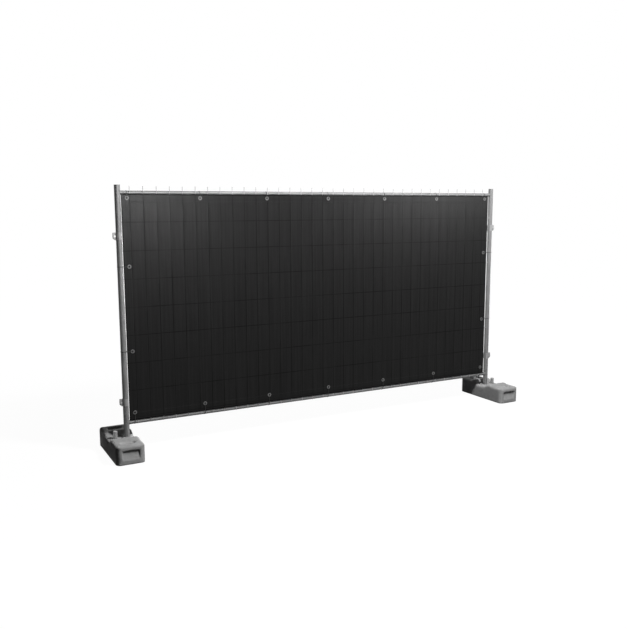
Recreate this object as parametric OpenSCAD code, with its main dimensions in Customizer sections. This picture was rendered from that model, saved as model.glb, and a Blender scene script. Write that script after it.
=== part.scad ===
// Temporary site fence: one welded mesh panel with a knitted privacy screen, standing in two block feet.
// X runs along the fence, the screen faces -Y, Z is up from the ground. Sizes are in mm.

/* [Uprights] */
// Width of the panel over both uprights
panel_width = 3500; // [2800:10:4200]
// Height of the upright tubes' tops above the ground
upright_top = 1976; // [1500:1:2400]
// Outer diameter of an upright tube
upright_d = 42.4; // [30:0.1:60]
// Wall of an upright tube
upright_wall = 2; // [1:0.1:4]
// Thickness of the cap that closes an upright
cap_flange = 3; // [1:0.5:8]
// Depth of the cap's plug inside the tube
cap_plug = 18; // [5:1:40]

/* [Rails] */
// Outer diameter of the two rails
rail_d = 30; // [20:0.5:42]
// Wall of a rail
rail_wall = 1.5; // [1:0.1:3]
// Distance from the upright's top down to the top rail's upper side
top_rail_drop = 38; // [5:0.1:300]
// Height of the bottom rail's lower side above the ground
bottom_rail_height = 211.4; // [150:0.1:400]

/* [Mesh] */
// Diameter of the mesh wires
wire_d = 3.8; // [2:0.1:8]
// Number of upright wires
upright_wires = 34; // [10:1:60]
// Number of level wires
level_wires = 8; // [3:1:20]
// Distance from the left upright's axis to the first wire
first_wire = 83; // [40:0.5:200]
// Distance from the last wire to the right upright's axis
last_wire = 111.6; // [40:0.5:200]
// Height of the lowest level wire above the bottom rail's axis
lowest_wire = 38.4; // [20:0.1:200]
// Distance from the top rail's axis down to the highest level wire
highest_wire = 210.6; // [20:0.1:400]
// How far an upright wire stands above the top rail
wire_tip = 33; // [0:0.5:40]
// How far an upright wire runs below the bottom rail's axis
wire_tail = 13; // [0:0.5:15]

/* [Screen] */
// Thickness of the screen where it lies on the wires
screen_t = 2.4; // [1:0.1:6]
// Gap from the left upright's axis to the screen's edge
screen_left = 20.3; // [16:0.1:200]
// Gap from the right upright's axis to the screen's edge
screen_right = 49.6; // [22:0.5:200]
// How far the screen's top edge lies below the top rail's axis
screen_top_drop = 9.7; // [0:0.1:200]
// How far the screen's bottom edge lies above the bottom rail's axis
screen_bottom_rise = 18; // [16:0.1:200]

/* [Eyelets and ties] */
// Outer diameter of an eyelet's ring
eyelet_d = 30; // [16:0.5:40]
// Diameter of the hole in an eyelet
eyelet_hole = 14; // [6:0.5:24]
// Thickness of the ring on the screen's face
eyelet_t = 1.6; // [0.5:0.1:4]
// Distance from the screen's left edge to an eyelet's centre
eyelet_inset_left = 41.7; // [18:0.1:80]
// Distance from the screen's right edge to an eyelet's centre
eyelet_inset_right = 39; // [18:0.5:80]
// Distance from the screen's top edge to an eyelet's centre
eyelet_inset_top = 28; // [18:0.5:80]
// Distance from the screen's bottom edge to an eyelet's centre
eyelet_inset_bottom = 58; // [18:0.5:80]
// Number of eyelets along the top and the bottom
eyelets_across = 7; // [2:1:12]
// Distance between the two eyelets on each side, halfway up
side_eyelet_gap = 626; // [200:1:1000]
// Width of a tie's strap
tie_w = 3.6; // [2:0.1:8]
// Thickness of a tie's strap
tie_t = 1.3; // [0.8:0.1:3]

/* [Couplers] */
// Height of a coupler half
coupler_h = 54; // [30:1:90]
// Thickness of the coupler's pressed plate
coupler_t = 3; // [2:0.1:6]
// How far a coupler's ear reaches out from the upright
coupler_ear = 22.8; // [20:0.2:50]
// Half of the space between the two ears
ear_gap = 3; // [1:0.5:8]
// Height of the left upright's upper coupler above the ground
left_upper = 1612; // [1000:1:1900]
// Height of the left upright's lower coupler above the ground
left_lower = 384; // [240:1:900]
// Height of the right upright's upper coupler above the ground
right_upper = 1618; // [1000:1:1900]
// Height of the right upright's lower coupler above the ground
right_lower = 402; // [240:1:900]
// Diameter of a coupler's bolt
bolt_d = 10; // [6:0.5:14]

/* [Feet] */
// Length of a foot, across the fence
foot_length = 580; // [400:5:800]
// Width of a foot, along the fence
foot_width = 210; // [150:1:300]
// Height of a foot's end
foot_height = 139; // [100:1:200]
// Height of the shoulder beside the saddle
shoulder_height = 146; // [100:1:220]
// Height of the saddle that the uprights stand in
saddle_height = 115; // [70:1:160]
// Radius of a foot's upright corners
foot_corner = 36; // [5:1:60]
// Radius of a foot's top edges
foot_edge = 20; // [3:1:30]
// Distance between the two spigots of a foot
spigot_pitch = 86; // [70:1:160]
// Clearance between a spigot and the inside of an upright, all round
spigot_play = 3.2; // [0.5:0.1:6]
// Height of a spigot's top above the seat
spigot_rise = 52; // [20:1:120]
// Chamfer round a spigot's top
spigot_chamfer = 2; // [0.5:0.5:6]
// Depth of a spigot in the foot
spigot_depth = 60; // [20:1:90]
// Height of the round seat under an upright
seat_rise = 6; // [2:1:30]
// Width of the seat's ledge outside the upright
seat_ledge = 9.8; // [2:0.1:20]
// Width of the hand-hold in a foot's end
grip_w = 126; // [80:1:160]
// Height of the hand-hold's mouth
grip_h = 68; // [40:1:90]
// Depth of the hand-hold
grip_depth = 12; // [8:1:80]
// Depth of the hand-hold at its lower lip
grip_sill = 2; // [1:1:20]
// Height of the hand-hold's lower lip
grip_base = 34; // [10:1:60]
// Length of the dished recess in a foot's top
dish_w = 112; // [60:1:150]
// Width of the dished recess
dish_l = 56; // [30:1:80]
// Depth of the dished recess
dish_depth = 7; // [3:0.5:20]
// Distance of the recess from a foot's end
dish_inset = 84; // [60:1:150]

/* [Hidden] */
gap = 0.3;
seat_gap = 0.2;
round_fn = 64;
upright_r = upright_d / 2;
rail_r = rail_d / 2;
wire_r = wire_d / 2;
half_span = (panel_width - upright_d) / 2;
top_rail_z = upright_top - top_rail_drop - rail_r;
bottom_rail_z = bottom_rail_height + rail_r;
wire_pitch = (2 * half_span - first_wire - last_wire) / (upright_wires - 1);
wire_y = -(rail_r + wire_r + seat_gap);
level_y = wire_y + 2 * wire_r - 0.4;
level_z0 = bottom_rail_z + lowest_wire;
level_pitch = (top_rail_z - highest_wire - level_z0) / (level_wires - 1);
screen_back = wire_y - wire_r - gap;
screen_front = screen_back - screen_t;
screen_x0 = -half_span + screen_left;
screen_x1 = half_span - screen_right;
screen_z0 = bottom_rail_z + screen_bottom_rise;
screen_z1 = top_rail_z - screen_top_drop;
screen_mid_z = (screen_z0 + screen_z1) / 2;
eyelet_x0 = screen_x0 + eyelet_inset_left;
eyelet_x1 = screen_x1 - eyelet_inset_right;
eyelet_z0 = screen_z0 + eyelet_inset_bottom;
eyelet_z1 = screen_z1 - eyelet_inset_top;
eyelet_step_x = (eyelet_x1 - eyelet_x0) / (eyelets_across - 1);
eyelet_lip = 1.5;
tie_front = -screen_front + gap + eyelet_t + gap;
foot_shift = spigot_pitch / 2;
spigot_d = upright_d - 2 * upright_wall - 2 * spigot_play;
seat_d = upright_d + 2 * seat_ledge;
seat_z = saddle_height + seat_rise;
upright_bottom = seat_z + seat_gap;
spigot_r = spigot_d / 2;
shank_r = spigot_r - 1.5;
spigot_foot = 1;
coupler_r = upright_r + gap;
coupler_open = 52;
coupler_reach = upright_r + coupler_ear;
ear_mid = (upright_r + coupler_t + coupler_reach) / 2;
head_af = 1.7 * bolt_d;
head_t = 0.65 * bolt_d;
steel = [0.62, 0.63, 0.64];
zinc = [0.72, 0.73, 0.74];
black = [0.06, 0.06, 0.065];
grey = [0.5, 0.5, 0.5];

// ---------- frame ----------

module tube_z(r, wall, z0, z1) {
  translate([0, 0, z0])
    difference() {
      cylinder(r = r, h = z1 - z0, $fn = round_fn);
      translate([0, 0, -1])
        cylinder(r = r - wall, h = z1 - z0 + 2, $fn = round_fn);
    }
}

module upright(side) {
  translate([side * half_span, 0, 0])
    tube_z(upright_r, upright_wall, upright_bottom, upright_top);
}

module left_upright() {
  color(zinc) upright(-1);
}

module right_upright() {
  color(zinc) upright(1);
}

// A moulded cap: a flat flange on the tube's end and a plug inside it.
module cap(side) {
  translate([side * half_span, 0, upright_top]) {
    translate([0, 0, seat_gap])
      cylinder(r = upright_r, h = cap_flange, $fn = round_fn);
    translate([0, 0, -cap_plug])
      cylinder(r = upright_r - upright_wall - gap, h = cap_plug + seat_gap + 0.5, $fn = round_fn);
  }
}

module left_cap() {
  color(grey) cap(-1);
}

module right_cap() {
  color(grey) cap(1);
}

// A rail between the uprights, its ends coped to their round.
module rail(z) {
  difference() {
    translate([0, 0, z])
      rotate([0, 90, 0])
        difference() {
          cylinder(r = rail_r, h = 2 * half_span, center = true, $fn = round_fn);
          cylinder(r = rail_r - rail_wall, h = 2 * half_span + 2, center = true, $fn = round_fn);
        }
    for (side = [-1, 1])
      translate([side * half_span, 0, z - rail_r - 1])
        cylinder(r = upright_r + gap, h = rail_d + 2, $fn = round_fn);
  }
}

module top_rail() {
  color(zinc) rail(top_rail_z);
}

module bottom_rail() {
  color(zinc) rail(bottom_rail_z);
}

// ---------- mesh ----------

function wire_x(i) = -half_span + first_wire + i * wire_pitch;

// Where a level wire meets the round of an upright.
function level_end() = sqrt(pow(upright_r + gap, 2) - pow(max(0, -level_y - wire_r), 2));

module mesh_panel() {
  color(steel) {
    for (i = [0 : upright_wires - 1])
      translate([wire_x(i), wire_y, bottom_rail_z - wire_tail])
        rotate([0, 0, 30])
          cylinder(r = wire_r, h = top_rail_z + rail_r + wire_tip - bottom_rail_z + wire_tail, $fn = 6);
    for (k = [0 : level_wires - 1])
      translate([0, level_y, level_z0 + k * level_pitch])
        rotate([0, 90, 0])
          cylinder(r = wire_r, h = 2 * (half_span - level_end()), center = true, $fn = 6);
  }
}

// ---------- screen, eyelets and ties ----------

// Height of a side's lower (-1) or upper (1) eyelet.
function side_eyelet_z(s) = screen_mid_z + s * side_eyelet_gap / 2;

module eyelet_holes(r, y0, y1) {
  for (i = [0 : eyelets_across - 1], z = [eyelet_z0, eyelet_z1])
    translate([eyelet_x0 + i * eyelet_step_x, y0, z])
      rotate([-90, 0, 0])
        cylinder(r = r, h = y1 - y0, $fn = 32);
  for (s = [-1, 1], x = [eyelet_x0, eyelet_x1])
    translate([x, y0, side_eyelet_z(s)])
      rotate([-90, 0, 0])
        cylinder(r = r, h = y1 - y0, $fn = 32);
}

module privacy_screen() {
  color(black)
    difference() {
      translate([screen_x0, screen_front, screen_z0])
        cube([screen_x1 - screen_x0, screen_t, screen_z1 - screen_z0]);
      eyelet_holes(eyelet_hole / 2 + eyelet_lip + gap, screen_front - 1, screen_back + 1);
    }
}

// A ring on the screen's face with a short barrel through it.
module eyelet() {
  rotate([-90, 0, 0])
    difference() {
      union() {
        translate([0, 0, screen_front - gap - eyelet_t])
          cylinder(r = eyelet_d / 2, h = eyelet_t, $fn = 40);
        translate([0, 0, screen_front - gap - eyelet_t])
          cylinder(r = eyelet_hole / 2 + eyelet_lip, h = eyelet_t + gap + screen_t, $fn = 40);
      }
      translate([0, 0, screen_front - 10])
        cylinder(r = eyelet_hole / 2, h = screen_t + 20, $fn = 40);
    }
}

module eyelet_row(z) {
  for (i = [0 : eyelets_across - 1])
    translate([eyelet_x0 + i * eyelet_step_x, 0, z])
      eyelet();
}

module eyelet_column(x) {
  for (s = [-1, 1])
    translate([x, 0, side_eyelet_z(s)])
      eyelet();
}

module eyelets_top() {
  color(zinc) eyelet_row(eyelet_z1);
}

module eyelets_bottom() {
  color(zinc) eyelet_row(eyelet_z0);
}

module eyelets_left() {
  color(zinc) eyelet_column(eyelet_x0);
}

module eyelets_right() {
  color(zinc) eyelet_column(eyelet_x1);
}

// Outline of a strap pulled round a tube of radius r and through an eyelet.
// u points to the front, v away from the eyelet; near and far are v of the screen's edge and of the eyelet.
function strap(r, f, near, far) =
  let (a0 = atan2(near, f) + acos(r / norm([f, near])))
  let (a1 = atan2(far, f) - acos(r / norm([f, far])) + 360)
  concat([for (j = [0 : 14]) let (a = a0 + j * (a1 - a0) / 14) [r * cos(a), r * sin(a)]],
         [[f, far], [f, near]]);

module tie_loop(r, near, far) {
  linear_extrude(height = tie_w, center = true)
    difference() {
      polygon(strap(r + tie_t, tie_front + tie_t, -near + 0.4 * tie_t, -far - tie_t));
      polygon(strap(r, tie_front, -near, -far));
    }
}

// The strap keeps clear of the wire behind its eyelet.
function wire_off(x) = x - wire_x(round((x - wire_x(0)) / wire_pitch));
function tie_x(x) =
  abs(wire_off(x)) > tie_w / 2 + wire_r + gap ? x
  : x + (wire_off(x) < 0 ? -1 : 1) * (tie_w / 2 + wire_r + 2 * gap - abs(wire_off(x)));

// Ties of a row: up is 1 where the rail is above its eyelets.
module tie_row(z, edge, centre, up) {
  for (i = [0 : eyelets_across - 1])
    translate([tie_x(eyelet_x0 + i * eyelet_step_x), 0, centre])
      rotate([90, 0, -90])
        scale_v(up)
          tie_loop(rail_r + gap, abs(centre - edge) - 1, abs(centre - z));
}

module scale_v(up) {
  if (up > 0)
    children();
  else
    mirror([0, 1, 0]) children();
}

module ties_top() {
  color(black) tie_row(eyelet_z1, screen_z1, top_rail_z, 1);
}

module ties_bottom() {
  color(black) tie_row(eyelet_z0, screen_z0, bottom_rail_z, -1);
}

// Ties of a side, round its upright.
module tie_column(side, edge, inset) {
  for (s = [-1, 1])
    translate([side * half_span, 0, side_eyelet_z(s)])
      mirror([side < 0 ? 1 : 0, 0, 0])
        rotate([0, 0, -90])
          tie_loop(upright_r + gap, edge - 1, edge + inset);
}

module ties_left() {
  color(black) tie_column(-1, screen_left, eyelet_inset_left);
}

module ties_right() {
  color(black) tie_column(1, screen_right, eyelet_inset_right);
}

// ---------- couplers ----------

// One pressed half: a bow round the upright and a flat ear outwards, on the front (-1) or the back (1).
module coupler_half(side, face, z) {
  translate([side * half_span, 0, z])
    mirror([side < 0 ? 1 : 0, 0, 0])
      mirror([0, face > 0 ? 0 : 1, 0])
        difference() {
          translate([0, 0, -coupler_h / 2])
            linear_extrude(height = coupler_h)
              difference() {
                union() {
                  circle(r = coupler_r + coupler_t, $fn = round_fn);
                  translate([coupler_r, ear_gap])
                    square([coupler_reach - coupler_r, coupler_t]);
                }
                circle(r = coupler_r, $fn = round_fn);
                translate([-100, ear_gap - 100])
                  square([200, 100]);
                polygon([[0, 0], 100 * [-cos(coupler_open), sin(coupler_open)], [-100, 0]]);
              }
          translate([ear_mid, 0, 0])
            rotate([-90, 0, 0])
              cylinder(r = bolt_d / 2 + 0.5, h = 100, $fn = 32);
          translate([coupler_reach, 0, -coupler_h / 2])
            rotate([0, 45, 0])
              cube([18, 100, 18], center = true);
        }
}

module coupler_bolt(side, z) {
  reach = ear_gap + coupler_t + seat_gap;
  translate([side * (half_span + ear_mid), 0, z])
    rotate([90, 0, 0]) {
      translate([0, 0, -reach - head_t - 3])
        cylinder(r = bolt_d / 2, h = 2 * reach + head_t + 3 + 0.5, $fn = 32);
      translate([0, 0, reach])
        cylinder(r = head_af / 2 / cos(30), h = head_t, $fn = 6);
      translate([0, 0, -reach - head_t])
        cylinder(r = head_af / 2 / cos(30), h = head_t, $fn = 6);
    }
}

module left_upper_coupler_front() {
  color(zinc) coupler_half(-1, -1, left_upper);
}

module left_upper_coupler_back() {
  color(zinc) coupler_half(-1, 1, left_upper);
}

module left_upper_bolt() {
  color(steel) coupler_bolt(-1, left_upper);
}

module left_lower_coupler_front() {
  color(zinc) coupler_half(-1, -1, left_lower);
}

module left_lower_coupler_back() {
  color(zinc) coupler_half(-1, 1, left_lower);
}

module left_lower_bolt() {
  color(steel) coupler_bolt(-1, left_lower);
}

module right_upper_coupler_front() {
  color(zinc) coupler_half(1, -1, right_upper);
}

module right_upper_coupler_back() {
  color(zinc) coupler_half(1, 1, right_upper);
}

module right_upper_bolt() {
  color(steel) coupler_bolt(1, right_upper);
}

module right_lower_coupler_front() {
  color(zinc) coupler_half(1, -1, right_lower);
}

module right_lower_coupler_back() {
  color(zinc) coupler_half(1, 1, right_lower);
}

module right_lower_bolt() {
  color(steel) coupler_bolt(1, right_lower);
}

// ---------- feet ----------

function ease(a, b, t) = a + (b - a) * (3 * pow(min(1, max(0, t)), 2) - 2 * pow(min(1, max(0, t)), 3));

// Height of a foot's top at a distance d from the fence line: saddle, shoulder, then the flat end.
saddle_half = seat_d / 2 + 10;
shoulder_at = saddle_half + 72;
flat_at = shoulder_at + 46;
function foot_top(d) =
  d < shoulder_at ? ease(saddle_height, shoulder_height, (d - saddle_half) / (shoulder_at - saddle_half))
  : ease(shoulder_height, foot_height, (d - shoulder_at) / (flat_at - shoulder_at));

function corner(cx, cy, r, a0, n) =
  [for (j = [0 : n]) let (a = a0 + 90 * j / n) [cx + r * cos(a), cy + r * sin(a)]];

function mirrored(points) = [for (j = [len(points) - 1 : -1 : 0]) [-points[j][0], points[j][1]]];

module foot_side() {
  half = foot_length / 2;
  wave = [for (j = [0 : 18]) let (d = j * flat_at / 18) [d, foot_top(d)]];
  end = corner(half - foot_edge, foot_height - foot_edge, foot_edge, 0, 5);
  right = concat([[half, 0]], end, [for (j = [18 : -1 : 1]) wave[j]]);
  polygon(concat(right, [wave[0]], mirrored(right)));
}

module foot_plan() {
  hx = foot_width / 2 - foot_corner;
  hy = foot_length / 2 - foot_corner;
  polygon(concat(corner(hx, hy, foot_corner, 0, 8), corner(-hx, hy, foot_corner, 90, 8),
                 corner(-hx, -hy, foot_corner, 180, 8), corner(hx, -hy, foot_corner, 270, 8)));
}

module foot_block() {
  intersection() {
    rotate([90, 0, 90])
      linear_extrude(height = foot_width, center = true)
        foot_side();
    linear_extrude(height = 2 * shoulder_height)
      foot_plan();
  }
}

module grip(end) {
  half = foot_length / 2;
  lip = grip_base + grip_h;
  rotate([90, 0, 90])
    linear_extrude(height = grip_w, center = true)
      polygon([[end * (half + 5), grip_base], [end * (half + 5), lip], [end * (half - grip_depth), lip],
               [end * (half - grip_depth), lip - 0.45 * grip_h], [end * (half - grip_sill), grip_base]]);
}

module dish_cut(end) {
  y = end * (foot_length / 2 - dish_inset);
  straight = (dish_w - dish_l) / 2;
  translate([-straight, y - dish_l / 2, foot_height - dish_depth])
    cube([2 * straight, dish_l, 4 * dish_depth]);
  for (s = [-1, 1])
    translate([s * straight, y, foot_height - dish_depth])
      cylinder(r = dish_l / 2, h = 4 * dish_depth, $fn = 40);
}

module foot(side) {
  translate([side * (half_span + foot_shift), 0, 0])
    difference() {
      union() {
        foot_block();
        for (s = [-1, 1])
          translate([s * foot_shift, 0, saddle_height - 20])
            cylinder(r = seat_d / 2, h = seat_rise + 20, $fn = round_fn);
      }
      for (end = [-1, 1]) {
        grip(end);
        dish_cut(end);
      }
      for (s = [-1, 1])
        translate([s * foot_shift, 0, seat_z - spigot_depth])
          cylinder(r = shank_r + gap, h = spigot_depth + 1, $fn = round_fn);
    }
}

module left_foot() {
  color(grey) foot(-1);
}

module right_foot() {
  color(grey) foot(1);
}

// Two steel spigots: the upright stands over one, the other waits for the next panel.
module spigots(side) {
  for (s = [0, 1])
    translate([side * (half_span + s * spigot_pitch), 0, seat_z]) {
      translate([0, 0, seat_gap - spigot_depth])
        cylinder(r = shank_r, h = spigot_depth + 5, $fn = round_fn);
      translate([0, 0, spigot_foot])
        cylinder(r = spigot_r, h = spigot_rise - spigot_foot - spigot_chamfer, $fn = round_fn);
      translate([0, 0, spigot_rise - spigot_chamfer])
        cylinder(r1 = spigot_r, r2 = spigot_r - spigot_chamfer, h = spigot_chamfer, $fn = round_fn);
    }
}

module left_spigots() {
  color(steel) spigots(-1);
}

module right_spigots() {
  color(steel) spigots(1);
}

left_upright();
right_upright();
left_cap();
right_cap();
top_rail();
bottom_rail();
mesh_panel();
privacy_screen();
eyelets_top();
eyelets_bottom();
eyelets_left();
eyelets_right();
ties_top();
ties_bottom();
ties_left();
ties_right();
left_foot();
right_foot();
left_spigots();
right_spigots();
left_upper_coupler_front();
left_upper_coupler_back();
left_upper_bolt();
left_lower_coupler_front();
left_lower_coupler_back();
left_lower_bolt();
right_upper_coupler_front();
right_upper_coupler_back();
right_upper_bolt();
right_lower_coupler_front();
right_lower_coupler_back();
right_lower_bolt();
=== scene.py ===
"""Temporary site fence: a welded mesh panel with a knitted privacy screen, standing in two block feet.

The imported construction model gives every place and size. This script adds the finishes, the cloth of the
screen, the moulded shape of the feet and the small trim, piece by piece in the order of assembly.
X runs along the fence, the screened side faces -Y, and Z is up. Lengths are in metres.
"""

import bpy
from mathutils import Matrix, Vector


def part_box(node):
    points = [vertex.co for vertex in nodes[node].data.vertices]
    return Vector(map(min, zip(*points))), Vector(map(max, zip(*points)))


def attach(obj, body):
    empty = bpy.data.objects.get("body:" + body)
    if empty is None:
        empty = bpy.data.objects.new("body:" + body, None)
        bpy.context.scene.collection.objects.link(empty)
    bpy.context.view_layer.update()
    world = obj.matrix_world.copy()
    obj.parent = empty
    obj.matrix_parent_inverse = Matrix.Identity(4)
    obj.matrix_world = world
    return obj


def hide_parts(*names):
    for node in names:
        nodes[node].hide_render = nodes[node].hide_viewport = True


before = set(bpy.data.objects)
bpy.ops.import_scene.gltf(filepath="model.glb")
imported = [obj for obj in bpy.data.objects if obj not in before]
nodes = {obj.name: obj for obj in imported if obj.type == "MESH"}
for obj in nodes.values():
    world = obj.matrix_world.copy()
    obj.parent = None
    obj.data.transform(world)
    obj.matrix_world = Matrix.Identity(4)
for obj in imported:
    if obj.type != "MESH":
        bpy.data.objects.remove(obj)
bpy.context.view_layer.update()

import math

import bpy
import numpy as np
from mathutils import Matrix, Vector

# ---------------------------------------------------------------------------------------------------
# Camera: a standing person's eye level, in front of the left half of the panel and looking along it.
# The lens keeps the whole panel in a nearly square picture.
# ---------------------------------------------------------------------------------------------------
eye = Vector((-3.0088, -5.4009, 1.8035))
turn_right = math.radians(27.948)
tilt_down = math.radians(8.119)
lean = math.radians(-0.226)
forward = Vector((math.sin(turn_right) * math.cos(tilt_down), math.cos(turn_right) * math.cos(tilt_down),
                  -math.sin(tilt_down)))
level_right = Vector((math.cos(turn_right), -math.sin(turn_right), 0.0))
level_up = level_right.cross(forward)
right = level_right * math.cos(lean) + level_up * math.sin(lean)
up = level_up * math.cos(lean) - level_right * math.sin(lean)
camera_data = bpy.data.cameras.new("camera")
camera_data.sensor_width = 36.0
camera_data.lens = 42.44
camera_data.clip_end = 200.0
camera = bpy.data.objects.new("camera", camera_data)
bpy.context.scene.collection.objects.link(camera)
camera.matrix_world = Matrix.Translation(eye) @ Matrix((right, up, -forward)).transposed().to_4x4()
bpy.context.scene.camera = camera

# ---------------------------------------------------------------------------------------------------
# Floor, surroundings and lamps: a plain white studio. A key lamp hangs high in front, right of the
# middle, so the feet's far halves lie in the panel's shadow. Two small lamps lower down make the
# sheen at the top of the cloth, and low lamps at the right and behind light those sides.
# ---------------------------------------------------------------------------------------------------


def surface_grid(name, points):
    """Mesh object from an array points[i, j] of places: each four neighbours make one face."""
    nu, nv = points.shape[:2]
    number = np.arange(nu * nv).reshape(nu, nv)
    faces = np.stack([number[:-1, :-1], number[1:, :-1], number[1:, 1:], number[:-1, 1:]], axis=-1)
    mesh = bpy.data.meshes.new(name)
    mesh.from_pydata(points.reshape(-1, 3).tolist(), [], faces.reshape(-1, 4).tolist())
    mesh.update()
    obj = bpy.data.objects.new(name, mesh)
    bpy.context.scene.collection.objects.link(obj)
    return obj


def sees_white(tree):
    """1 for the rays that see the studio's white, which are the camera's, mirrored ones and those passed
    through a surface, and 0 for the rays that light the object."""
    path = tree.nodes.new("ShaderNodeLightPath")
    share = path.outputs["Is Camera Ray"]
    for ray in ("Is Glossy Ray", "Is Transmission Ray"):
        either = tree.nodes.new("ShaderNodeMath")
        either.operation = "MAXIMUM"
        tree.links.new(share, either.inputs[0])
        tree.links.new(path.outputs[ray], either.inputs[1])
        share = either.outputs[0]
    return share


floor_half = 40.0
floor_side = np.array([-floor_half, floor_half])
floor_places = np.broadcast_arrays(floor_side[:, None], floor_side[None, :], 0.0)
floor = surface_grid("floor", np.stack(floor_places, axis=-1))

floor_paint = bpy.data.materials.new("floor_paint")
floor_paint.use_nodes = True
tree = floor_paint.node_tree
tree.nodes.clear()
floor_out = tree.nodes.new("ShaderNodeOutputMaterial")
floor_diffuse = tree.nodes.new("ShaderNodeBsdfDiffuse")
floor_diffuse.inputs["Color"].default_value = (0.045, 0.045, 0.045, 1)
floor_white = tree.nodes.new("ShaderNodeEmission")
floor_place = tree.nodes.new("ShaderNodeTexCoord")
floor_distance = tree.nodes.new("ShaderNodeVectorMath")
floor_distance.operation = "LENGTH"
floor_far = tree.nodes.new("ShaderNodeMapRange")
# a little under white near the object, so that its shadow shows, and white from 6 m on
for key, number in (("From Min", 2.5), ("From Max", 6.0), ("To Min", 0.972), ("To Max", 1.0)):
    floor_far.inputs[key].default_value = number
tree.links.new(floor_place.outputs["Object"], floor_distance.inputs[0])
tree.links.new(floor_distance.outputs["Value"], floor_far.inputs["Value"])
tree.links.new(floor_far.outputs["Result"], floor_white.inputs["Color"])
floor_sum = tree.nodes.new("ShaderNodeAddShader")
tree.links.new(sees_white(tree), floor_white.inputs["Strength"])
tree.links.new(floor_diffuse.outputs[0], floor_sum.inputs[0])
tree.links.new(floor_white.outputs[0], floor_sum.inputs[1])
tree.links.new(floor_sum.outputs[0], floor_out.inputs["Surface"])
floor.data.materials.append(floor_paint)

world = bpy.data.worlds.new("white_studio")
world.use_nodes = True
bpy.context.scene.world = world
tree = world.node_tree
tree.nodes.clear()
world_out = tree.nodes.new("ShaderNodeOutputWorld")
world_fill = tree.nodes.new("ShaderNodeBackground")
world_fill.inputs["Color"].default_value = (0.01, 0.01, 0.01, 1)
world_white = tree.nodes.new("ShaderNodeBackground")
world_white.inputs["Color"].default_value = (1, 1, 1, 1)
world_pick = tree.nodes.new("ShaderNodeMixShader")
tree.links.new(sees_white(tree), world_pick.inputs["Fac"])
tree.links.new(world_fill.outputs[0], world_pick.inputs[1])
tree.links.new(world_white.outputs[0], world_pick.inputs[2])
tree.links.new(world_pick.outputs[0], world_out.inputs["Surface"])
bpy.context.scene.view_settings.view_transform = "Standard"

# name, place, the point it looks at, width and height, power, and whether it lights more than a sheen
for lamp_name, place, target, size, power, lights in (
        ("lamp_key", (0.6, -2.4, 4.0), (-0.2, 0.0, 0.7), 0.5, 260.0, True),
        ("lamp_sheen_left", (-1.13, -2.6, 2.55), (-1.5, 0.0, 1.4), 0.6, 165.0, False),
        ("lamp_sheen_right", (2.93, -2.6, 2.62), (1.2, 0.0, 1.4), 0.6, 158.0, False),
        ("lamp_side", (6.5, 0.6, 0.5), (1.7, 0.0, 0.9), 1.0, 110.0, True),
        ("lamp_behind", (2.0, 6.3, 0.7), (0.0, 0.0, 0.9), 1.6, 330.0, True)):
    lamp_data = bpy.data.lights.new(lamp_name, "AREA")
    lamp_data.size = size
    lamp_data.energy = power
    lamp = bpy.data.objects.new(lamp_name, lamp_data)
    lamp.location = place
    lamp.rotation_euler = (Vector(target) - Vector(place)).to_track_quat("-Z", "Y").to_euler()
    lamp.visible_camera = False
    lamp.visible_diffuse = lights
    bpy.context.scene.collection.objects.link(lamp)

# ---------------------------------------------------------------------------------------------------
# Feet: moulded shells filled with concrete, 580 mm long, with a hand-hold in each end, a dished
# recess on each end's top and a saddle in the middle where two spigots stand. Mould edges are soft.
# ---------------------------------------------------------------------------------------------------


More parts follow.
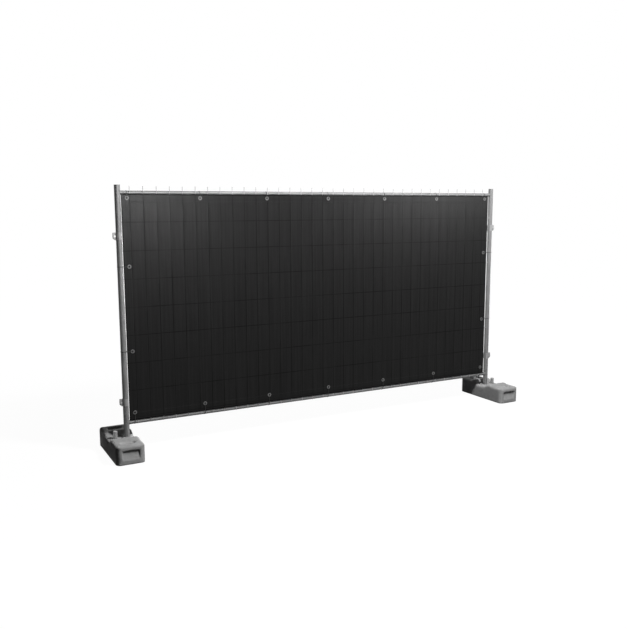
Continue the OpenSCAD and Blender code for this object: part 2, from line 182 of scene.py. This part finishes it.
class Finish:
    """A material being wired up: its node tree, its Principled shader and the object's own coordinates."""

    def __init__(self, name, colour, roughness, metallic=0.0):
        self.material = bpy.data.materials.new(name)
        self.material.use_nodes = True
        self.tree = self.material.node_tree
        self.shader = self.tree.nodes["Principled BSDF"]
        self.shader.inputs["Base Color"].default_value = (*colour, 1)
        self.shader.inputs["Roughness"].default_value = roughness
        self.shader.inputs["Metallic"].default_value = metallic
        self.where = self.tree.nodes.new("ShaderNodeTexCoord").outputs["Object"]
        self.height = None

    def node(self, kind, **settings):
        made = self.tree.nodes.new(kind)
        for key, value in settings.items():
            setattr(made, key, value)
        return made

    def link(self, out, into):
        self.tree.links.new(out, into)

    def stretched(self, scale):
        """The object's coordinates multiplied by scale along each axis."""
        mapping = self.node("ShaderNodeMapping")
        mapping.inputs["Scale"].default_value = scale
        self.link(self.where, mapping.inputs["Vector"])
        return mapping.outputs["Vector"]

    def noise(self, scale, detail=4.0, roughness=0.55, along=None):
        """Cloudy noise between 0 and 1, scale lumps to a metre."""
        made = self.node("ShaderNodeTexNoise")
        made.inputs["Scale"].default_value = scale
        made.inputs["Detail"].default_value = detail
        made.inputs["Roughness"].default_value = roughness
        self.link(self.where if along is None else along, made.inputs["Vector"])
        return made.outputs["Fac"]

    def cells(self, scale, output="Distance"):
        """Cell pattern, scale cells to a metre."""
        made = self.node("ShaderNodeTexVoronoi")
        made.inputs["Scale"].default_value = scale
        self.link(self.where, made.inputs["Vector"])
        return made.outputs[output]

    def spread(self, value, low, high, to_low=0.0, to_high=1.0):
        """Value mapped smoothly from low..high to to_low..to_high and held there outside."""
        made = self.node("ShaderNodeMapRange", interpolation_type="SMOOTHSTEP")
        self.link(value, made.inputs["Value"])
        for key, number in (("From Min", low), ("From Max", high), ("To Min", to_low), ("To Max", to_high)):
            made.inputs[key].default_value = number
        return made.outputs["Result"]

    def sums(self, kind, first, second):
        """One sum of two values or numbers: kind is ADD, MULTIPLY, SUBTRACT, MAXIMUM and so on. The second
        is None where the sum takes only one, as ROUND does."""
        made = self.node("ShaderNodeMath", operation=kind)
        for socket, value in zip(made.inputs, (first, second)):
            if isinstance(value, (int, float)):
                socket.default_value = value
            elif value is not None:
                self.link(value, socket)
        return made.outputs[0]

    def colours(self, value, *stops):
        """Colour ramp: each stop is a place from 0 to 1 and a grey."""
        made = self.node("ShaderNodeValToRGB")
        ramp = made.color_ramp
        while len(ramp.elements) < len(stops):
            ramp.elements.new(0.5)
        for element, (place, grey) in zip(ramp.elements, stops):
            element.position = place
            element.color = (grey, grey, grey, 1)
        self.link(value, made.inputs["Fac"])
        return made.outputs["Color"]

    def blend(self, share, first, second):
        """Mix of a colour output, first, with an RGB colour, second, by share."""
        made = self.node("ShaderNodeMix", data_type="RGBA")
        self.link(share, made.inputs[0])
        self.link(first, made.inputs[6])
        made.inputs[7].default_value = (*second, 1)
        return made.outputs[2]

    def colour(self, value):
        self.link(value, self.shader.inputs["Base Color"])

    def rough(self, value):
        self.link(value, self.shader.inputs["Roughness"])

    def axis(self, name):
        """One coordinate of the object, X, Y or Z, in metres."""
        split = self.node("ShaderNodeSeparateXYZ")
        self.link(self.where, split.inputs[0])
        return split.outputs[name]

    def bump(self, value, depth, strength=1.0):
        """Raises the surface by value times depth, in metres, on top of what is already there."""
        made = self.node("ShaderNodeBump")
        made.inputs["Strength"].default_value = strength
        made.inputs["Distance"].default_value = depth
        self.link(value, made.inputs["Height"])
        if self.height is not None:
            self.link(self.height, made.inputs["Normal"])
        self.height = made.outputs["Normal"]
        self.link(self.height, self.shader.inputs["Normal"])


def edge_wear(finish, low=0.52, high=0.6):
    """Share of wear on convex edges, from Pointiness."""
    geometry = finish.node("ShaderNodeNewGeometry")
    return finish.spread(geometry.outputs["Pointiness"], low, high)


block = Finish("foot_moulded_grey", (0.3, 0.3, 0.3), 0.72)
block.shader.inputs["Specular IOR Level"].default_value = 0.06
clouds = block.noise(7.0, 5.0)
grime = block.noise(38.0, 6.0, 0.65)
specks = block.cells(420.0)
tone = block.colours(clouds, (0.3, 0.29), (0.7, 0.42))
tone = block.blend(block.spread(grime, 0.45, 0.75, 0.0, 0.35), tone, (0.2, 0.2, 0.2))
tone = block.blend(block.spread(specks, 0.0, 0.28, 0.4, 0.0), tone, (0.6, 0.6, 0.6))
tone = block.blend(edge_wear(block), tone, (0.6, 0.6, 0.6))
block.colour(tone)
block.rough(block.spread(clouds, 0.3, 0.7, 0.62, 0.85))
block.bump(block.noise(260.0, 3.0), 0.0006, 0.6)
block.bump(block.noise(28.0, 3.0), 0.0022, 0.5)

foot_voxel = 0.004
foot_rounds = 8
flank_round = 0.024
flank_drop_share = 0.8
flank_from, flank_full = 0.05, 0.115
dish_inset = 0.084
dish_half_width, dish_radius = 0.028, 0.030
dish_floor_share = 0.4
dish_more = 0.009
dish_lowest = 0.1
sole_snap = 0.003


def smooth_step(low, high, value):
    """0 below low, 1 above high, and between them the smooth S of t squared times (3 minus 2 t)."""
    share = np.clip((value - low) / (high - low), 0.0, 1.0)
    return share * share * (3 - 2 * share)


def moulded_copy(node, name):
    """A soft-edged copy of a CAD node. Its triangles are merged, rebuilt on a fine even grid and smoothed.
    Then its top turns down along both flanks in a quarter circle, by r minus the root of (r squared minus
    u squared), u being how far a place lies inside the last r of the width, and each dish gets deeper."""
    obj = bpy.data.objects.new(name, nodes[node].data.copy())
    bpy.context.scene.collection.objects.link(obj)
    for kind, settings in (("WELD", {"merge_threshold": 0.00005}),
                           ("REMESH", {"mode": "VOXEL", "voxel_size": foot_voxel}),
                           ("SMOOTH", {"factor": 0.5, "iterations": foot_rounds})):
        modifier = obj.modifiers.new(kind.lower(), kind)
        for key, value in settings.items():
            setattr(modifier, key, value)
    shaped = bpy.data.meshes.new_from_object(obj.evaluated_get(bpy.context.evaluated_depsgraph_get()))
    obj.modifiers.clear()
    obj.data = shaped
    shaped.name = name
    shaped.materials.clear()
    low, high = (np.array(corner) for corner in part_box(node))
    middle = (low + high) / 2
    places = np.empty(len(shaped.vertices) * 3)
    shaped.vertices.foreach_get("co", places)
    places = np.clip(places.reshape(-1, 3), low, high)
    x, y, z = places.T
    across = np.clip((np.abs(x - middle[0]) - (high[0] - middle[0] - flank_round)) / flank_round, 0, 1)
    turned_down = flank_round * flank_drop_share * (1 - np.sqrt(1 - across ** 2))
    z = z - turned_down * smooth_step(flank_from, flank_full, z)
    off_x = np.maximum(np.abs(x - middle[0]) - dish_half_width, 0)
    off_y = np.abs(np.abs(y) - (high[1] - dish_inset))
    dished = 1 - smooth_step(dish_floor_share * dish_radius, dish_radius, np.hypot(off_x, off_y))
    z = z - dish_more * dished * (z > dish_lowest)
    z = np.where(z < sole_snap, 0.0, z)
    shaped.vertices.foreach_set("co", np.stack([x, y, z], axis=1).ravel())
    shaped.polygons.foreach_set("use_smooth", np.ones(len(shaped.polygons), dtype=bool))
    shaped.update()
    return obj


for side in ("left", "right"):
    foot = moulded_copy(f"{side}_foot", f"{side}_foot_shell")
    foot.data.materials.append(block.material)
    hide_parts(f"{side}_foot")
    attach(foot, "root")

# ---------------------------------------------------------------------------------------------------
# Spigots: solid galvanised pins, scratched where panels have been dropped over them.
# ---------------------------------------------------------------------------------------------------
pin = Finish("spigot_worn_zinc", (0.3, 0.3, 0.3), 0.5, 0.35)
scratch = pin.noise(60.0, 6.0, 0.7, pin.stretched((3.0, 3.0, 0.4)))
pin.colour(pin.colours(scratch, (0.3, 0.16), (0.5, 0.3), (0.7, 0.42)))
pin.rough(pin.spread(scratch, 0.3, 0.7, 0.6, 0.38))
pin.bump(scratch, 0.0004, 0.5)

# ---------------------------------------------------------------------------------------------------
# Uprights and rails: round steel tube, welded and then dipped in zinc, so the coat shows faint
# crystals, paler runs along the tube and dull patches where it has weathered.
# ---------------------------------------------------------------------------------------------------


def zinc_coat(name, along, dark, pale, roughness):
    """Galvanised finish: flat crystals of zinc, long runs along the tube and dull weathered clouds."""
    coat = Finish(name, (pale, pale, pale), roughness, 0.1)
    coat.shader.inputs["Specular IOR Level"].default_value = 0.25
    crystals = coat.cells(260.0, output="Color")
    to_grey = coat.node("ShaderNodeRGBToBW")
    coat.link(crystals, to_grey.inputs[0])
    runs = coat.noise(9.0, 4.0, 0.6, coat.stretched(along))
    dull = coat.noise(5.0, 5.0, 0.6)
    tone = coat.colours(runs, (0.3, dark), (0.72, pale))
    tone = coat.blend(coat.spread(to_grey.outputs[0], 0.3, 0.7, 0.0, 0.22), tone, (0.33, 0.33, 0.34))
    tone = coat.blend(coat.spread(dull, 0.52, 0.7, 0.0, 0.3), tone, (0.11, 0.11, 0.11))
    coat.colour(tone)
    mottle = coat.sums("ADD", to_grey.outputs[0], dull)
    coat.rough(coat.spread(mottle, 0.6, 1.4, roughness - 0.08, roughness + 0.14))
    coat.bump(runs, 0.0005, 0.5)
    coat.bump(coat.noise(420.0, 2.0), 0.00015, 0.4)
    return coat


upright_zinc = zinc_coat("upright_zinc", (6.0, 6.0, 0.6), 0.14, 0.25, 0.46)
# the rails get the same zinc painted darker than the uprights', because their upper sides catch more of the
# lamps' light: painted shade
rail_zinc_painted_darker = zinc_coat("rail_zinc_painted_darker", (0.6, 6.0, 6.0), 0.12, 0.21, 0.46)

cap_plastic = Finish("cap_plastic", (0.2, 0.2, 0.2), 0.55)
cap_plastic.colour(cap_plastic.colours(cap_plastic.noise(90.0), (0.35, 0.15), (0.7, 0.24)))
cap_plastic.bump(cap_plastic.noise(500.0, 2.0), 0.0002, 0.5)


def finish_nodes(finish, *names):
    """Gives CAD nodes one finish."""
    for name in names:
        mesh = nodes[name].data
        mesh.materials.clear()
        mesh.materials.append(finish.material)


finish_nodes(pin, "left_spigots", "right_spigots")
finish_nodes(upright_zinc, "left_upright", "right_upright")
finish_nodes(rail_zinc_painted_darker, "top_rail", "bottom_rail")
finish_nodes(cap_plastic, "left_cap", "right_cap")


def tube_mesh(name, tubes, looped):
    """One object of closed tubes from arrays tubes[k][i, j] of places, with i along the path and j round
    the tube. A looped tube's path closes on itself; any other has a flat cap on each end."""
    places, faces, start = [], [], 0
    for tube in tubes:
        nu, nv = tube.shape[:2]
        number = np.arange(nu * nv).reshape(nu, nv) + start
        ahead, beside = np.roll(number, -1, axis=0), np.roll(number, -1, axis=1)
        quads = np.stack([number, ahead, np.roll(ahead, -1, axis=1), beside], axis=-1)
        faces += (quads if looped else quads[:-1]).reshape(-1, 4).tolist()
        if not looped:
            faces += [number[0].tolist(), number[-1, ::-1].tolist()]
        places.append(tube.reshape(-1, 3))
        start += nu * nv
    mesh = bpy.data.meshes.new(name)
    mesh.from_pydata(np.concatenate(places).tolist(), [], faces)
    mesh.polygons.foreach_set("use_smooth", np.ones(len(mesh.polygons), dtype=bool))
    mesh.set_sharp_from_angle(angle=math.radians(50))
    mesh.update()
    obj = bpy.data.objects.new(name, mesh)
    bpy.context.scene.collection.objects.link(obj)
    return obj


bead_radius = 0.0022


def weld_loop(upright_x, rail_z, rail_radius, upright_radius, side):
    """Bead round a rail's end. Its middle line is where the two tubes meet: at angle a round the rail, y is
    r cos a, z is r sin a, and x is the root of R squared minus y squared from the upright's axis. Its
    thickness wavers with a sine of a, as the welder's steps do."""
    turn = np.linspace(0, 2 * np.pi, 120, endpoint=False)[:, None]
    around = np.linspace(0, 2 * np.pi, 10, endpoint=False)[None, :]
    y, z = rail_radius * np.cos(turn), rail_radius * np.sin(turn)
    x = np.sqrt(upright_radius ** 2 - y ** 2)
    thick = bead_radius * (1 + 0.16 * np.sin(30 * turn) + 0.1 * np.sin(7 * turn + 1.3))
    outward = thick * np.cos(around)
    along = thick * np.sin(around)
    return np.stack([upright_x - side * (x + along), y + outward * np.cos(turn),
                     rail_z + z + outward * np.sin(turn)], axis=-1)[:, ::-side]


weld_loops = []
for rail in ("top_rail", "bottom_rail"):
    rail_low, rail_high = (np.array(corner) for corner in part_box(rail))
    for side, upright in ((-1, "left_upright"), (1, "right_upright")):
        post_low, post_high = (np.array(corner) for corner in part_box(upright))
        post_middle, rail_middle = (post_low[0] + post_high[0]) / 2, (rail_low[2] + rail_high[2]) / 2
        post_radius, rail_radius = (post_high[0] - post_low[0]) / 2, (rail_high[2] - rail_low[2]) / 2
        weld_loops.append(weld_loop(post_middle, rail_middle, rail_radius, post_radius, side))
weld_beads = tube_mesh("weld_beads", weld_loops, True)
bead = Finish("weld_zinc", (0.2, 0.2, 0.2), 0.5, 0.1)
bead.colour(bead.colours(bead.noise(140.0), (0.3, 0.11), (0.7, 0.24)))
bead.bump(bead.noise(500.0, 2.0), 0.0003, 0.5)
weld_beads.data.materials.append(bead.material)
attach(weld_beads, "root")

# ---------------------------------------------------------------------------------------------------
# Mesh: drawn wire, resistance-welded at each crossing and to the front of both rails, galvanised
# with the frame.
# ---------------------------------------------------------------------------------------------------
wire_zinc = Finish("wire_zinc", (0.3, 0.3, 0.3), 0.5, 0.1)
wire_zinc.shader.inputs["Specular IOR Level"].default_value = 0.3
wire_tone = wire_zinc.noise(24.0, 4.0)
wire_zinc.colour(wire_zinc.colours(wire_tone, (0.3, 0.32), (0.7, 0.48)))
wire_zinc.bump(wire_zinc.noise(300.0, 2.0), 0.0002, 0.4)
finish_nodes(wire_zinc, "mesh_panel")

# ---------------------------------------------------------------------------------------------------
# Couplers: pairs of pressed plates bolted round the uprights, zinc plated, with hexagon bolts.
# ---------------------------------------------------------------------------------------------------
plate = Finish("coupler_zinc", (0.3, 0.3, 0.3), 0.46, 0.1)
plate.shader.inputs["Specular IOR Level"].default_value = 0.25
plate_tone = plate.noise(45.0, 5.0)
plate_colour = plate.colours(plate_tone, (0.3, 0.11), (0.7, 0.21))
plate.colour(plate.blend(edge_wear(plate), plate_colour, (0.3, 0.3, 0.3)))
plate.rough(plate.spread(plate_tone, 0.3, 0.7, 0.55, 0.35))
plate.bump(plate.noise(400.0, 2.0), 0.0002, 0.5)
bolt = Finish("bolt_zinc", (0.32, 0.32, 0.33), 0.4, 0.4)
bolt.colour(bolt.colours(bolt.noise(120.0), (0.3, 0.22), (0.7, 0.4)))
bolt.bump(bolt.noise(600.0, 2.0), 0.0002, 0.4)
for place in ("left_upper", "left_lower", "right_upper", "right_lower"):
    finish_nodes(plate, f"{place}_coupler_front", f"{place}_coupler_back")
    finish_nodes(bolt, f"{place}_bolt")

# ---------------------------------------------------------------------------------------------------
# Privacy screen: knitted black polyethylene, hemmed all round and pulled flat over the wires.
# ---------------------------------------------------------------------------------------------------
screen_low, screen_high = (np.array(corner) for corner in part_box("privacy_screen"))
mesh_low, mesh_high = (np.array(corner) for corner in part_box("mesh_panel"))
upright_left = float(np.mean([corner[0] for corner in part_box("left_upright")]))
upright_right = float(np.mean([corner[0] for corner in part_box("right_upright")]))
rail_low, rail_high = (float(np.mean([corner[2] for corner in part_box(rail)]))
                       for rail in ("bottom_rail", "top_rail"))
upright_wires = 34
first_wire_inset, last_wire_inset = 0.083, 0.1116
first_wire = upright_left + first_wire_inset
last_wire = upright_right - last_wire_inset
wire_places = np.linspace(first_wire, last_wire, upright_wires)
level_wires = 8
lowest_wire_rise, highest_wire_drop = 0.0384, 0.2106
lowest_wire = rail_low + lowest_wire_rise
highest_wire = rail_high - highest_wire_drop
level_places = np.linspace(lowest_wire, highest_wire, level_wires)
cloth_t = 0.0008
hem_w = 0.060
hem_more = 0.0002
hem_blend = 0.0015
tight_to, loose_from = 0.02, 0.16
sag_depth, fold_depth = 0.0004, 0.0009
ridge_height, ridge_width = 0.0005, 0.004


def close_to(places, low, high, near, between):
    """Places from low to high: between even ones, and at each of places a cluster with offsets near."""
    all_places = [low, high, *np.linspace(low, high, between)]
    for place in places:
        all_places.extend(place + near)
    all_places = np.array(all_places)
    all_places = np.unique(np.round(all_places[(all_places >= low) & (all_places <= high)], 5))
    return all_places[np.concatenate([[True], np.diff(all_places) > 0.0012])]


hem_edges_x = [screen_low[0] + hem_w, screen_high[0] - hem_w]
hem_edges_z = [screen_low[2] + hem_w, screen_high[2] - hem_w]
cloth_x = close_to([*wire_places, *hem_edges_x], screen_low[0], screen_high[0],
                   np.array([-0.006, -0.003, 0.0, 0.003, 0.006]), 120)
cloth_z = close_to([*level_places, *hem_edges_z], screen_low[2], screen_high[2],
                   np.array([-0.005, 0.0, 0.005]), 70)
cloth_x[-1], cloth_z[-1] = screen_high[0], screen_high[2]
grid_x, grid_z = np.meshgrid(cloth_x, cloth_z, indexing="ij")
to_wire = np.min(np.abs(grid_x[..., None] - wire_places), axis=-1)
half_pitch = (wire_places[1] - wire_places[0]) / 2
edge_gap = np.minimum.reduce([grid_x - screen_low[0], screen_high[0] - grid_x,
                              grid_z - screen_low[2], screen_high[2] - grid_z])
inside = smooth_step(tight_to, loose_from, edge_gap)
sag = sag_depth * np.sin(np.pi / 2 * np.clip(to_wire / half_pitch, 0, 1)) ** 2 * inside
ridge = ridge_height * np.exp(-(to_wire / ridge_width) ** 2) * inside
folds = (0.5 * np.sin(7.1 * grid_x + 2.3 * grid_z + 0.4) + 0.3 * np.sin(3.3 * grid_x - 5.9 * grid_z + 1.7)
         + 0.2 * np.sin(13.7 * grid_x + 4.1 * grid_z)) * fold_depth * inside
back_y = screen_high[1] + sag - ridge - np.abs(folds) * 0.5
hem = 1 - smooth_step(hem_w - hem_blend, hem_w + hem_blend, edge_gap)
front_y = back_y - cloth_t - hem_more * hem
front_y = np.maximum(front_y, screen_low[1])
front = np.stack([grid_x, front_y, grid_z], axis=-1)
back = np.stack([grid_x, back_y, grid_z], axis=-1)


def closed_cloth(name, front, back):
    """Two grids of places, front and back, joined by a rim into one closed sheet."""
    nu, nv = front.shape[:2]
    number = np.arange(nu * nv).reshape(nu, nv)
    face = np.stack([number[:-1, :-1], number[1:, :-1], number[1:, 1:], number[:-1, 1:]], axis=-1)
    face = face.reshape(-1, 4)
    rim = np.concatenate([number[:, 0], number[-1, 1:], number[-2::-1, -1], number[0, -2:0:-1]])
    after = np.roll(rim, -1)
    around = np.stack([rim, rim + nu * nv, after + nu * nv, after], axis=-1)
    faces = np.concatenate([face, face[:, ::-1] + nu * nv, around])
    mesh = bpy.data.meshes.new(name)
    places = np.concatenate([front.reshape(-1, 3), back.reshape(-1, 3)])
    mesh.from_pydata(places.tolist(), [], faces.tolist())
    mesh.update()
    obj = bpy.data.objects.new(name, mesh)
    bpy.context.scene.collection.objects.link(obj)
    mesh.polygons.foreach_set("use_smooth", np.ones(len(faces), dtype=bool))
    mesh.set_sharp_from_angle(angle=math.radians(30))
    return obj


screen = closed_cloth("screen_cloth", front, back)
cloth = Finish("screen_knit", (0.005, 0.005, 0.005), 0.395)
at_x, at_z = cloth.axis("X"), cloth.axis("Z")


def stripe(finish, coordinate, first, pitch, count, half_width):
    """1 on lines first, first + pitch and so on, falling to 0 at half_width from each."""
    turns = finish.sums("DIVIDE", finish.sums("SUBTRACT", coordinate, first), pitch)
    nearest = finish.sums("MAXIMUM", finish.sums("ROUND", turns, None), 0.0)
    nearest = finish.sums("MINIMUM", nearest, count - 1.0)
    off = finish.sums("ABSOLUTE", finish.sums("SUBTRACT", turns, nearest), None)
    return finish.spread(finish.sums("MULTIPLY", off, pitch), 0.0, half_width, 1.0, 0.0)


wire_pitch = float(wire_places[1] - wire_places[0])
level_pitch = float(level_places[1] - level_places[0])
over_wires = cloth.sums("MAXIMUM",
                        stripe(cloth, at_x, float(first_wire), wire_pitch, upright_wires, 0.005),
                        stripe(cloth, at_z, float(lowest_wire), level_pitch, level_wires, 0.005))
# dark lines painted on the cloth over the wires: painted shade of the wires that block the light seen
# through the knit, stronger in some places than in others
painted_wire_shade = cloth.sums("MULTIPLY", over_wires, cloth.spread(cloth.noise(2.6, 3.0), 0.35, 0.6, 0.4, 0.9))
# how far a place lies inside the nearest edge
border = cloth.sums("MINIMUM",
                    cloth.sums("MINIMUM", cloth.sums("SUBTRACT", at_x, float(screen_low[0])),
                               cloth.sums("SUBTRACT", float(screen_high[0]), at_x)),
                    cloth.sums("MINIMUM", cloth.sums("SUBTRACT", at_z, float(screen_low[2])),
                               cloth.sums("SUBTRACT", float(screen_high[2]), at_z)))
stitch_length, stitch_inset = 0.007, 0.004
along_hem = cloth.sums("MULTIPLY", cloth.sums("ADD", at_x, at_z), 1 / stitch_length)
off_row = cloth.sums("ABSOLUTE", cloth.sums("SUBTRACT", border, hem_w - stitch_inset), None)
stitches = cloth.sums("MULTIPLY", cloth.spread(cloth.sums("FRACT", along_hem, None), 0.55, 0.7, 1.0, 0.0),
                      cloth.spread(off_row, 0.0005, 0.0011, 1.0, 0.0))
knit = cloth.node("ShaderNodeTexWave", wave_type="BANDS", bands_direction="X")
knit.inputs["Scale"].default_value = 90.0
knit.inputs["Distortion"].default_value = 1.2
knit.inputs["Detail"].default_value = 1.0
cloth.link(cloth.where, knit.inputs["Vector"])
rows = cloth.node("ShaderNodeTexWave", wave_type="BANDS", bands_direction="Z")
rows.inputs["Scale"].default_value = 120.0
rows.inputs["Distortion"].default_value = 0.8
cloth.link(cloth.where, rows.inputs["Vector"])
weave = cloth.sums("MULTIPLY", knit.outputs["Fac"], rows.outputs["Fac"])
dust = cloth.noise(3.0, 5.0, 0.6)
cloth_tone = cloth.colours(weave, (0.0, 0.002), (0.8, 0.005))
cloth_tone = cloth.blend(cloth.spread(dust, 0.5, 0.8, 0.0, 0.3), cloth_tone, (0.008, 0.008, 0.008))
# painted shade: the cloth's colour is darker over the wires
cloth_tone = cloth.blend(painted_wire_shade, cloth_tone, (0.0005, 0.0005, 0.0005))
cloth_tone = cloth.blend(stitches, cloth_tone, (0.014, 0.014, 0.014))
cloth.colour(cloth_tone)
streaks = cloth.noise(1.0, 3.0, 0.6, cloth.stretched((70.0, 1.0, 1.4)))
# the gloss is lower over the wires too, as part of the same painted shade
gloss = cloth.sums("MULTIPLY", cloth.spread(painted_wire_shade, 0.0, 1.0, 0.115, 0.05),
                   cloth.spread(streaks, 0.3, 0.7, 0.86, 1.12))
# the gloss falls to a third within 4 to 10 mm of each edge: painted shade, a dark line along the cloth's
# edges
cloth.link(cloth.sums("MULTIPLY", gloss, cloth.spread(border, 0.004, 0.010, 0.3, 1.0)),
           cloth.shader.inputs["Specular IOR Level"])
cloth.bump(weave, 0.0003, 0.5)
cloth.bump(stitches, 0.0006, 0.6)
screen.data.materials.append(cloth.material)
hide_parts("privacy_screen")
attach(screen, "root")

# ---------------------------------------------------------------------------------------------------
# Eyelets: pressed rings with a barrel through the hem; ties: black nylon straps round the frame, each
# pulled tight through a small head on the frame's back and cut off short.
# ---------------------------------------------------------------------------------------------------
ring = Finish("eyelet_metal", (0.2, 0.2, 0.2), 0.5, 0.1)
ring.shader.inputs["Specular IOR Level"].default_value = 0.2
ring.colour(ring.colours(ring.noise(150.0), (0.3, 0.08), (0.7, 0.16)))
ring.bump(ring.noise(700.0, 2.0), 0.0002, 0.4)
strap = Finish("tie_nylon", (0.03, 0.03, 0.03), 0.5)
strap.shader.inputs["Specular IOR Level"].default_value = 0.2
strap.colour(strap.colours(strap.noise(200.0), (0.3, 0.018), (0.7, 0.034)))
strap.bump(strap.noise(900.0, 2.0), 0.0001, 0.5)
finish_nodes(ring, "eyelets_top", "eyelets_bottom", "eyelets_left", "eyelets_right")
finish_nodes(strap, "ties_top", "ties_bottom", "ties_left", "ties_right")


def rounded_bar(centre, across, along, path):
    """Capped bar along path, whose steps are offsets from centre, each with a size. Each ring is a
    superellipse: cos and sin of the turn raised to one half, with their signs kept, times the half widths
    across and along, which are vectors."""
    turn = np.linspace(0, 2 * np.pi, 16, endpoint=False)
    c, s = np.cos(turn), np.sin(turn)
    c, s = np.sign(c) * np.sqrt(np.abs(c)), np.sign(s) * np.sqrt(np.abs(s))
    ring = c[:, None] * across + s[:, None] * along
    return np.array([centre + step + size * ring for step, size in path])


head_half_w, head_half_t, head_half_l, head_edge = 0.0031, 0.0026, 0.0036, 0.0005
head_end_share = 0.86
head_sink = 0.001
tail_half_w, tail_half_t = 0.0017, 0.0006
tie_spacing = 0.02
backwards = np.array([0.0, 1.0, 0.0])
tie_ends = []
for row, held in (("ties_top", "top_rail"), ("ties_bottom", "bottom_rail"), ("ties_left", "left_upright"),
                  ("ties_right", "right_upright")):
    tie_places = np.empty(len(nodes[row].data.vertices) * 3)
    nodes[row].data.vertices.foreach_get("co", tie_places)
    tie_places = tie_places.reshape(-1, 3)
    level = "rail" in held
    run = 0 if level else 2
    spots = np.sort(tie_places[:, run])
    starts = np.concatenate([[True], np.diff(spots) > tie_spacing])
    groups = np.split(spots, np.flatnonzero(starts)[1:])
    held_low, held_high = (np.array(corner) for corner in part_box(held))
    back = float(tie_places[:, 1].max())
    strap_way = np.array([1.0, 0.0, 0.0]) if level else np.array([0.0, 0.0, 1.0])
    tail_way = np.array([0.0, 0.0, -1.0]) if level else np.array([1.0, 0.0, 0.0])
    depth_way = np.cross(strap_way, tail_way)
    for group in groups:
        centre = (held_low + held_high) / 2
        centre[run] = (group[0] + group[-1]) / 2
        centre[1] = back + head_half_t - head_sink
        head_path = [(-head_half_l, head_end_share), (head_edge - head_half_l, 1.0),
                     (head_half_l - head_edge, 1.0), (head_half_l, head_end_share)]
        tie_ends.append(rounded_bar(centre, head_half_w * strap_way, head_half_t * depth_way,
                                    [(step * tail_way, size) for step, size in head_path]))
        # the cut tail starts inside the head and bends away from the frame
        tail_path = [(0.002, 0.0), (0.006, 0.0004), (0.012, 0.0022)]
        tie_ends.append(rounded_bar(centre, tail_half_w * strap_way, tail_half_t * depth_way,
                                    [(step * tail_way + bend * backwards, 1.0) for step, bend in tail_path]))
tie_heads = tube_mesh("tie_heads", tie_ends, False)
tie_heads.data.materials.append(strap.material)
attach(tie_heads, "root")
